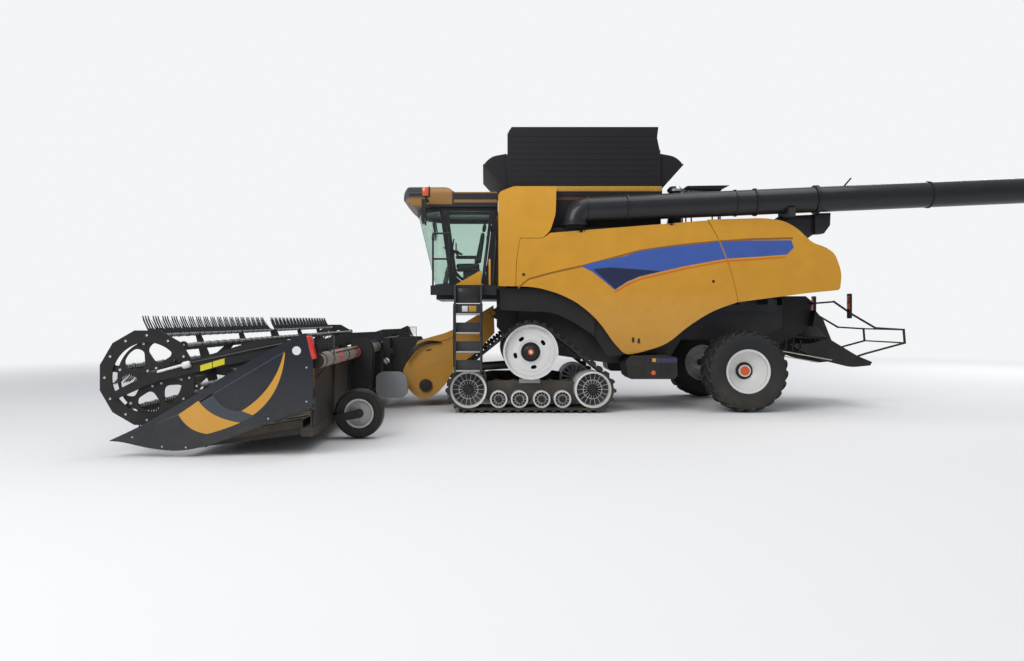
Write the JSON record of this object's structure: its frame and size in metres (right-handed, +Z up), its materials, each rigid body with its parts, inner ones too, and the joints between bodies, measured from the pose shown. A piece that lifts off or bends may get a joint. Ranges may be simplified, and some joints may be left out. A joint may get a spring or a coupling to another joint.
{
  "type": "combine harvester",
  "caption": "Combine harvester on front rubber tracks and rear wheels, with a wide draper header and reel, open grain tank covers and a folding unloading tube.",
  "frame": {"origin": "on the ground under the middle of the machine's overall box", "axes": "+X forward, +Y to the driver's left, +Z up"},
  "size_m": [15.4292, 12.4, 5.132],
  "materials": {
    "yellow_paint": "satin yellow paint",
    "yellow_panel": "moulded yellow panel, gloss",
    "dark_paint": "satin near-black paint",
    "black_plastic": "matt black plastic",
    "shield_plastic": "glossy blue-black plastic",
    "rubber": "matt rubber",
    "track_rubber": "dusty black rubber",
    "wheel_paint": "off-white paint",
    "header_grey": "grey paint",
    "bare_steel": "worn bright steel",
    "reel_paint": "dark steel and plastic",
    "glass": "tinted glass",
    "seat_fabric": "dark woven fabric",
    "lamp_lens": "clear lens",
    "engine_iron": "cast iron",
    "wheel_black": "small tyre on a white rim"
  },
  "bodies": {
    "root": {"chassis": "dark_paint", "front_axle": "dark_paint", "rear_axle": "dark_paint", "threshing_body": "dark_paint", "engine_block": "engine_iron", "grain_tank": "dark_paint", "turret": "dark_paint", "fixed_panels": "yellow_panel", "rear_hood": "yellow_panel", "engine_deck": "dark_paint", "skirts": "black_plastic", "belt_left": "track_rubber", "belt_right": "track_rubber", "track_wheels_left": "wheel_paint", "track_wheels_right": "wheel_paint", "track_frame_left": "dark_paint", "track_frame_right": "dark_paint", "cab_frame": "black_plastic", "cab_glass": "glass", "cab_roof": "black_plastic", "seat": "seat_fabric", "steering_column": "black_plastic", "platform": "dark_paint", "ladder": "dark_paint", "mirrors": "black_plastic", "lamps": "lamp_lens", "chopper": "dark_paint"},
    "header": {"feeder_house": "yellow_paint", "float_module": "dark_paint", "header_frame": "header_grey", "drapers": "rubber", "cutter_bar": "bare_steel", "end_shields": "shield_plastic", "centre_plates": "black_plastic", "gearbox_cover": "header_grey", "wheel_legs": "dark_paint"},
    "reel_lift": {"reel_arms": "dark_paint"},
    "reel": {"reel": "reel_paint"},
    "header_wheel_left": {"header_wheel_left": "wheel_black"},
    "header_wheel_right": {"header_wheel_right": "wheel_black"},
    "lift_barrels": {"lift_barrels": "dark_paint"},
    "lift_rods": {"lift_rods": "bare_steel"},
    "knuckle_left": {"knuckle_left": "dark_paint"},
    "knuckle_right": {"knuckle_right": "dark_paint"},
    "rear_wheel_left": {"rear_tyre_left": "track_rubber", "rear_rim_left": "wheel_paint"},
    "rear_wheel_right": {"rear_tyre_right": "track_rubber", "rear_rim_right": "wheel_paint"},
    "tube": {"unload_tube": "dark_paint"},
    "tube_outer": {"unload_outer": "dark_paint", "spout": "rubber"},
    "door": {"cab_door": "black_plastic", "door_glass": "glass"},
    "panel_left": {"side_panel_left": "yellow_panel"},
    "panel_right": {"side_panel_right": "yellow_panel"},
    "cover_left": {"cover_left": "black_plastic"},
    "cover_right": {"cover_right": "black_plastic"},
    "cover_front": {"cover_front": "black_plastic"},
    "cover_rear": {"cover_rear": "black_plastic"}
  },
  "joints": [
    {"name": "header_lift", "type": "hinge", "parent": "root", "child": "header", "pos_m": [2.92473, 0, 1.75], "axis": [0, -1, 0], "range_deg": [0, 20]},
    {"name": "reel_height", "type": "hinge", "parent": "header", "child": "reel_lift", "pos_m": [5.15473, 0, 1.36], "axis": [0, -1, 0], "range_deg": [-3, 18]},
    {"name": "reel_spin", "type": "hinge", "parent": "reel_lift", "child": "reel", "pos_m": [7.06473, 0, 0.93], "axis": [0, 1, 0], "continuous": true},
    {"name": "header_wheel_left_spin", "type": "hinge", "parent": "header", "child": "header_wheel_left", "pos_m": [4.79473, 4.65, 0.345], "axis": [0, 1, 0], "continuous": true},
    {"name": "header_wheel_right_spin", "type": "hinge", "parent": "header", "child": "header_wheel_right", "pos_m": [4.79473, -4.65, 0.345], "axis": [0, 1, 0], "continuous": true},
    {"name": "lift_barrel_swing", "type": "hinge", "parent": "root", "child": "lift_barrels", "pos_m": [2.47473, 0, 0.76], "axis": [0, -1, 0], "range_deg": [0, 12.05]},
    {"name": "lift_rod_slide", "type": "slide", "parent": "lift_barrels", "child": "lift_rods", "axis": [0.9978, 0, -0.0665], "range_m": [0, 0.33837]},
    {"name": "steer_left", "type": "hinge", "parent": "root", "child": "knuckle_left", "pos_m": [-1.52527, 0.96, 0.72], "axis": [0, 0, 1], "range_deg": [-28, 28]},
    {"name": "steer_right", "type": "hinge", "parent": "root", "child": "knuckle_right", "pos_m": [-1.52527, -0.96, 0.72], "axis": [0, 0, 1], "range_deg": [-28, 28]},
    {"name": "rear_left_spin", "type": "hinge", "parent": "knuckle_left", "child": "rear_wheel_left", "pos_m": [-1.52527, 1.44, 0.72], "axis": [0, 1, 0], "continuous": true},
    {"name": "rear_right_spin", "type": "hinge", "parent": "knuckle_right", "child": "rear_wheel_right", "pos_m": [-1.52527, -1.44, 0.72], "axis": [0, 1, 0], "continuous": true},
    {"name": "tube_swing", "type": "hinge", "parent": "root", "child": "tube", "pos_m": [1.47473, 1.4, 3.33], "axis": [0, 0, -1], "range_deg": [0, 105]},
    {"name": "tube_fold", "type": "hinge", "parent": "tube", "child": "tube_outer", "pos_m": [-2.82417, 1.108, 3.76769], "axis": [0.0436, 0, 0.999], "range_deg": [0, 100]},
    {"name": "cab_door_swing", "type": "hinge", "parent": "root", "child": "door", "pos_m": [3.08773, 0.995, 2.24], "axis": [-0.1185, 0, 0.993], "range_deg": [0, 75]},
    {"name": "panel_left_swing", "type": "hinge", "parent": "root", "child": "panel_left", "pos_m": [1.37473, 1.52317, 3.19015], "axis": [0.9967, 0.0139, -0.0803], "range_deg": [0, 60]},
    {"name": "panel_right_swing", "type": "hinge", "parent": "root", "child": "panel_right", "pos_m": [1.37473, -1.52317, 3.19015], "axis": [-0.9967, 0.0139, 0.0803], "range_deg": [0, 60]},
    {"name": "cover_left_fold", "type": "hinge", "parent": "root", "child": "cover_left", "pos_m": [2.27473, 1.116, 4.04], "axis": [1, 0, 0], "range_deg": [0, 90]},
    {"name": "cover_right_fold", "type": "hinge", "parent": "root", "child": "cover_right", "pos_m": [2.27473, -1.116, 4.04], "axis": [-1, 0, 0], "range_deg": [0, 90]},
    {"name": "cover_front_fold", "type": "hinge", "parent": "root", "child": "cover_front", "pos_m": [2.66073, 0, 3.984], "axis": [0, -1, 0], "range_deg": [0, 132]},
    {"name": "cover_rear_fold", "type": "hinge", "parent": "root", "child": "cover_rear", "pos_m": [-0.11127, 0, 3.984], "axis": [0, 1, 0], "range_deg": [0, 132]}
  ],
  "couplings": [
    {"joint": "lift_barrel_swing", "follows": "header_lift", "ratio": 0.60234},
    {"joint": "lift_rod_slide", "follows": "header_lift", "m_per_rad": 0.96932},
    {"joint": "steer_right", "follows": "steer_left", "ratio": 1}
  ]
}
